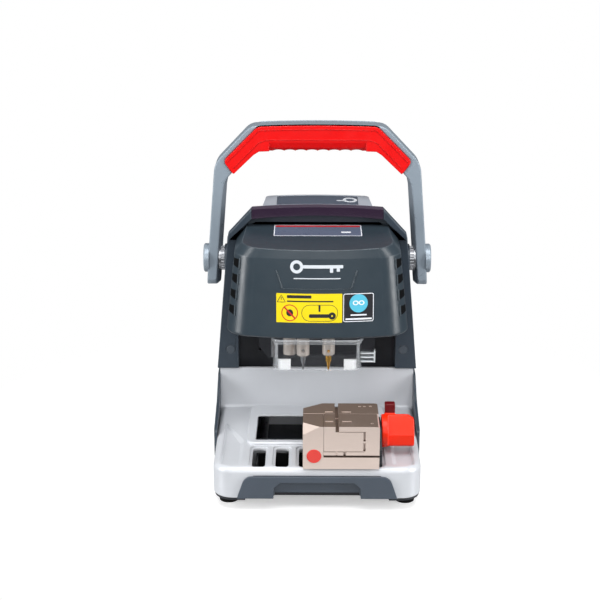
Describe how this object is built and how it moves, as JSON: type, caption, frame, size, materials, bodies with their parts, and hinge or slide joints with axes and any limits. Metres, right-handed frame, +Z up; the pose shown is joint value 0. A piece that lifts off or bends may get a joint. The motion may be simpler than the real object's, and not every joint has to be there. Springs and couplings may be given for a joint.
{
  "type": "key duplicating machine",
  "caption": "Compact key duplicating machine: silver base with chip tray, key clamp on an X-Y stage, dark cutting head that slides down its housing, and a folding carrying handle.",
  "frame": {"origin": "on the bench under the middle of the machine, in the plane of its feet", "axes": "+X to the operator's right, +Y towards the back, +Z up"},
  "size_m": [0.2406, 0.3052, 0.3491],
  "materials": {
    "silver_casting": "satin silver paint on a casting",
    "dark_sheet": "dark powder coat",
    "black_rubber": "matt black rubber",
    "housing_plastic": "fine-textured dark blue-grey",
    "drawer_plastic": "satin blue-grey",
    "plug_plastic": "satin",
    "bright_steel": "ground steel",
    "gloss_black": "high gloss",
    "board_green": "solder mask",
    "console_plastic": "satin grey",
    "smoked_visor": "smoked transparent plastic",
    "handle_metal": "metallic grey-blue",
    "red_grip": "bright red soft grip",
    "machined_aluminium": "machined",
    "motor_steel": "black lacquered steel",
    "bronze": "sintered bronze",
    "head_plastic": "satin dark blue-grey",
    "nickel": "nickel plate",
    "gold_coating": "gold coloured hard coating",
    "belt_rubber": "moulded belt rubber",
    "clear_plastic": "clear moulded plastic",
    "white_plastic": "white",
    "clamp_nickel": "satin nickel plate",
    "badge_red": "red",
    "orange_knob": "orange-red"
  },
  "bodies": {
    "base": {"base_casting": "silver_casting", "base_pan": "dark_sheet", "rubber_feet": "black_rubber", "side_panel_right": "housing_plastic", "side_panel_left": "housing_plastic", "housing_shell": "housing_plastic", "column_plugs": "plug_plastic", "rear_panel": "dark_sheet", "rear_screws": "bright_steel", "power_inlet": "gloss_black", "usb_port": "bright_steel", "control_board": "board_green", "top_console": "console_plastic", "console_inset": "gloss_black", "brow_window": "smoked_visor", "handle_pivots": "bright_steel", "z_frame": "dark_sheet", "z_guide_rods": "bright_steel", "z_motor": "motor_steel", "y_guide_rods": "bright_steel", "y_motor": "motor_steel"},
    "chip_drawer_body": {"chip_drawer": "drawer_plastic"},
    "power_button_body": {"power_button": "gloss_black"},
    "handle": {"handle_frame": "handle_metal", "handle_grip": "red_grip", "handle_hubs": "bright_steel", "handle_caps": "handle_metal"},
    "z_screw": {"z_lead_screw": "bright_steel"},
    "head": {"z_carriage": "dark_sheet", "z_bushes": "bronze", "head_cover": "head_plastic", "head_floor": "dark_sheet", "spindle_housing": "machined_aluminium", "spindle_bearings": "bright_steel", "spindle_motor": "motor_steel", "probe_holder": "nickel", "probe_tip": "bright_steel", "work_light": "nickel", "guard_hinge": "bright_steel", "drive_belt": "belt_rubber"},
    "spindle": {"spindle_shaft": "bright_steel", "cutter_collet": "nickel", "cutter": "gold_coating"},
    "motor_rotor": {"motor_pulley": "machined_aluminium"},
    "guard": {"tool_guard": "clear_plastic", "guard_pads": "white_plastic"},
    "y_screw": {"y_lead_screw": "bright_steel"},
    "y_stage": {"y_saddle": "machined_aluminium", "y_bushes": "bronze", "x_guide_rods": "bright_steel", "x_motor": "motor_steel"},
    "x_screw": {"x_lead_screw": "bright_steel"},
    "x_stage": {"x_table": "machined_aluminium", "x_bushes": "bronze", "clamp_body": "clamp_nickel", "clamp_badge": "badge_red", "clamp_bracket": "dark_sheet"},
    "jaw": {"clamp_jaw": "clamp_nickel"},
    "knob": {"clamp_screw": "bright_steel", "clamp_knob": "orange_knob"}
  },
  "joints": [
    {"name": "drawer_slide", "type": "slide", "parent": "base", "child": "chip_drawer_body", "axis": [0, -1, 0], "range_m": [0, 0.05]},
    {"name": "power_press", "type": "slide", "parent": "base", "child": "power_button_body", "axis": [0, -1, 0], "range_m": [0, 0.0025]},
    {"name": "handle_pivot", "type": "hinge", "parent": "base", "child": "handle", "pos_m": [0, 0.04, 0.204], "axis": [-1, 0, 0], "range_deg": [-45, 50]},
    {"name": "head_lift", "type": "slide", "parent": "base", "child": "head", "axis": [0, 0, -1], "range_m": [0, 0.024]},
    {"name": "z_screw_turn", "type": "hinge", "parent": "base", "child": "z_screw", "pos_m": [0, 0.04, 0.16], "axis": [0, 0, 1], "range_deg": [0, 2160]},
    {"name": "spindle_spin", "type": "hinge", "parent": "head", "child": "spindle", "pos_m": [0.0113, -0.066, 0.18], "axis": [0, 0, 1], "continuous": true},
    {"name": "motor_spin", "type": "hinge", "parent": "head", "child": "motor_rotor", "pos_m": [0.048, -0.036, 0.2], "axis": [0, 0, 1], "continuous": true},
    {"name": "guard_swing", "type": "hinge", "parent": "head", "child": "guard", "pos_m": [-0.0455, -0.0435, 0.14], "axis": [0, 0, -1], "range_deg": [0, 95]},
    {"name": "y_travel", "type": "slide", "parent": "base", "child": "y_stage", "axis": [0, 1, 0], "range_m": [0, 0.044]},
    {"name": "y_screw_turn", "type": "hinge", "parent": "base", "child": "y_screw", "pos_m": [0, 0, 0.0225], "axis": [0, 1, 0], "range_deg": [0, 3960]},
    {"name": "x_travel", "type": "slide", "parent": "y_stage", "child": "x_stage", "axis": [1, 0, 0], "range_m": [-0.04, 0.015]},
    {"name": "x_screw_turn", "type": "hinge", "parent": "y_stage", "child": "x_screw", "pos_m": [0, -0.07, 0.034], "axis": [1, 0, 0], "range_deg": [-3600, 1350]},
    {"name": "knob_turn", "type": "hinge", "parent": "x_stage", "child": "knob", "pos_m": [0.06, -0.11, 0.0697], "axis": [1, 0, 0], "range_deg": [0, 120]},
    {"name": "jaw_slide", "type": "slide", "parent": "x_stage", "child": "jaw", "axis": [0, -1, 0], "range_m": [0, 0.005]}
  ],
  "couplings": [
    {"joint": "z_screw_turn", "follows": "head_lift", "rad_per_m": 1570.8},
    {"joint": "y_screw_turn", "follows": "y_travel", "rad_per_m": 1570.8},
    {"joint": "x_screw_turn", "follows": "x_travel", "rad_per_m": 1570.8},
    {"joint": "motor_spin", "follows": "spindle_spin", "ratio": 0.8},
    {"joint": "knob_turn", "follows": "jaw_slide", "rad_per_m": 418.87}
  ]
}
